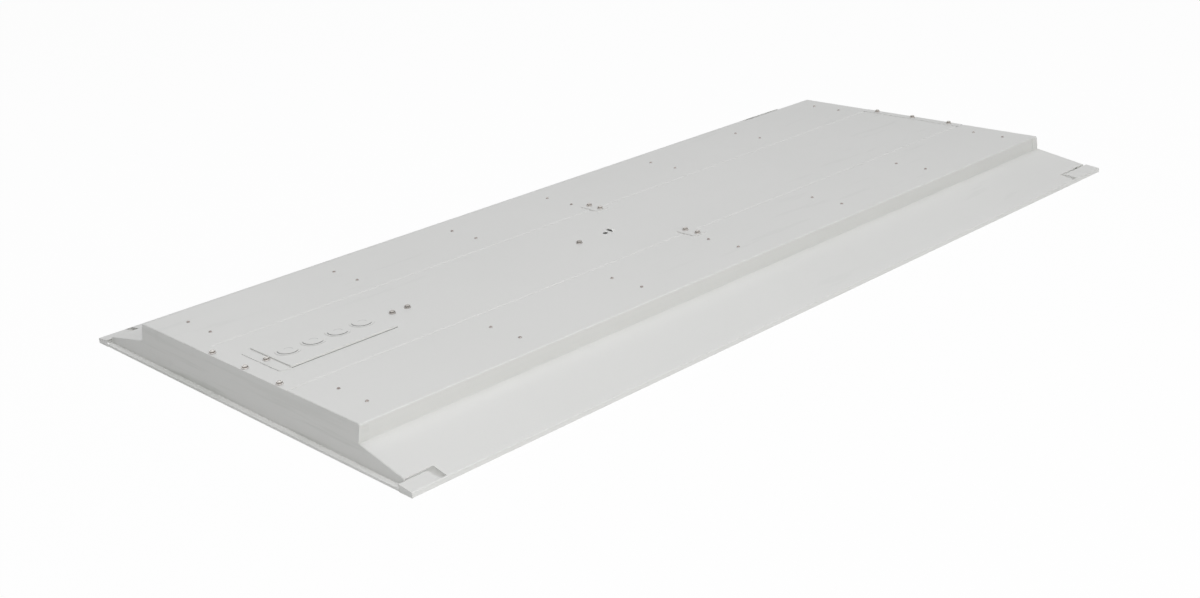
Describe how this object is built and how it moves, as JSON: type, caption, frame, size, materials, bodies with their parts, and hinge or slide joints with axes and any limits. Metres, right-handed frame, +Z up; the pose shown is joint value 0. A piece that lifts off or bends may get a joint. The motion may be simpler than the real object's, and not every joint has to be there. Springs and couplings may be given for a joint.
{
  "type": "recessed troffer light",
  "caption": "Lay-in recessed ceiling troffer with a folded steel pan, twin opal lenses, a centre driver spine and a hinged wiring access plate.",
  "frame": {"origin": "centre of the fitting in plan, on the plane of its resting flange", "axes": "+X along the fitting, +Z up into the ceiling, the lenses look down"},
  "size_m": [1.213, 0.603, 0.0452],
  "materials": {
    "white_paint": "satin off-white baked paint on sheet steel",
    "zinc_steel": "bright zinc-plated steel fasteners",
    "rivet_aluminium": "plain aluminium rivets",
    "opal_lens": "translucent opal diffuser sheet",
    "board_white": "white solder-masked metal-core board",
    "led_yellow": "phosphor-filled LED packages",
    "galvanised": "galvanised driver can",
    "connector_white": "moulded nylon connectors",
    "connector_orange": "moulded supply disconnect",
    "wire_white": "white wire insulation",
    "wire_black": "black wire insulation",
    "wire_green": "green wire insulation",
    "wire_grey": "grey wire insulation",
    "tinned_copper": "tinned ring terminal"
  },
  "bodies": {
    "housing": {"housing_pan": "white_paint", "end_plate_near": "white_paint", "end_plate_far": "white_paint", "tie_plate_front": "white_paint", "tie_plate_rear": "white_paint", "inner_lens_rail_front": "white_paint", "inner_lens_rail_rear": "white_paint", "outer_lens_rail_front": "white_paint", "outer_lens_rail_rear": "white_paint", "spine_bracket_front": "white_paint", "spine_bracket_rear": "white_paint", "end_plate_screws": "zinc_steel", "tie_plate_screws": "zinc_steel", "driver_screws": "zinc_steel", "ground_screw": "zinc_steel", "board_rivets": "rivet_aluminium", "lens_front": "opal_lens", "lens_rear": "opal_lens", "board_connectors": "connector_white", "driver_case": "galvanised", "driver_lid": "galvanised", "driver_input_terminals": "connector_white", "driver_output_terminals": "connector_white", "output_leads_front": "wire_grey", "output_leads_rear": "wire_grey", "board_link_wires": "wire_grey", "supply_lead_white": "wire_white", "supply_lead_black": "wire_black", "ground_lead": "wire_green", "ground_ring": "tinned_copper", "disconnect_socket": "connector_orange", "disconnect_plug": "connector_orange", "led_board_1": "board_white", "led_chips_1": "led_yellow", "led_board_2": "board_white", "led_chips_2": "led_yellow", "led_board_3": "board_white", "led_chips_3": "led_yellow", "led_board_4": "board_white", "led_chips_4": "led_yellow"},
    "access_cover": {"access_plate": "white_paint", "access_plate_screw": "zinc_steel"},
    "driver_cover_body": {"driver_cover": "white_paint", "cover_screws": "zinc_steel"}
  },
  "joints": [
    {"name": "access_plate_hinge", "type": "hinge", "parent": "housing", "child": "access_cover", "pos_m": [-0.419, 0, 0.0415], "axis": [0, 1, 0], "range_deg": [0, 70]},
    {"name": "driver_cover_hinge", "type": "hinge", "parent": "housing", "child": "driver_cover_body", "pos_m": [0, 0.0752, 0.0222], "axis": [1, 0, 0], "range_deg": [0, 85]}
  ]
}
